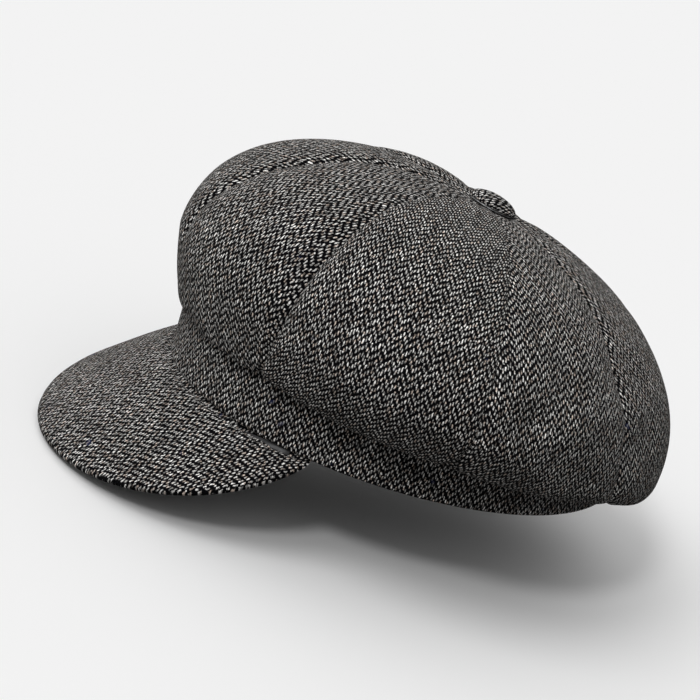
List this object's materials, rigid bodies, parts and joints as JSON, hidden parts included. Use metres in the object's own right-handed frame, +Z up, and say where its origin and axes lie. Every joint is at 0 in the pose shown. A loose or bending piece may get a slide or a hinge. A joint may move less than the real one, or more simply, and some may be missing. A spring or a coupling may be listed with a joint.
{
  "type": "newsboy cap",
  "caption": "Soft tweed cap with a full panelled crown that rolls over a plain band, a short stiff visor and a covered button on top.",
  "frame": {"origin": "centre of the head opening, in the plane of the band's lower edge", "axes": "+Z up through the crown, -Y to the front where the visor is, +X to the wearer's left"},
  "size_m": [0.2304, 0.2658, 0.1461],
  "materials": {
    "tweed": "woven wool herringbone",
    "lining": "satin weave",
    "interlining": "non-woven",
    "sweatband": "cotton twill",
    "elastic": "braided elastic",
    "label": "woven, blank",
    "visor_board": "satin",
    "button_metal": "stamped"
  },
  "bodies": {
    "cap": {"crown_panel_front_left": "tweed", "crown_panel_left_front": "tweed", "crown_panel_left_back": "tweed", "crown_panel_back_left": "tweed", "crown_panel_back_right": "tweed", "crown_panel_right_back": "tweed", "crown_panel_right_front": "tweed", "crown_panel_front_right": "tweed", "lining_panel_front_left": "lining", "lining_panel_left_front": "lining", "lining_panel_left_back": "lining", "lining_panel_back_left": "lining", "lining_panel_back_right": "lining", "lining_panel_right_back": "lining", "lining_panel_right_front": "lining", "lining_panel_front_right": "lining", "outer_band": "tweed", "band_interlining": "interlining", "sweatband": "sweatband", "back_elastic": "elastic", "size_label": "label", "button_cover": "tweed", "button_shell": "button_metal", "button_back": "button_metal", "button_washer": "button_metal"},
    "visor": {"visor_top_cover": "tweed", "visor_under_cover": "tweed", "visor_board": "visor_board"}
  },
  "joints": [
    {"name": "visor_flex", "type": "hinge", "parent": "cap", "child": "visor", "pos_m": [0, -0.1, 0], "axis": [-1, 0, 0], "range_deg": [-8, 12], "stiffness_Nm_per_rad": 0.8}
  ]
}
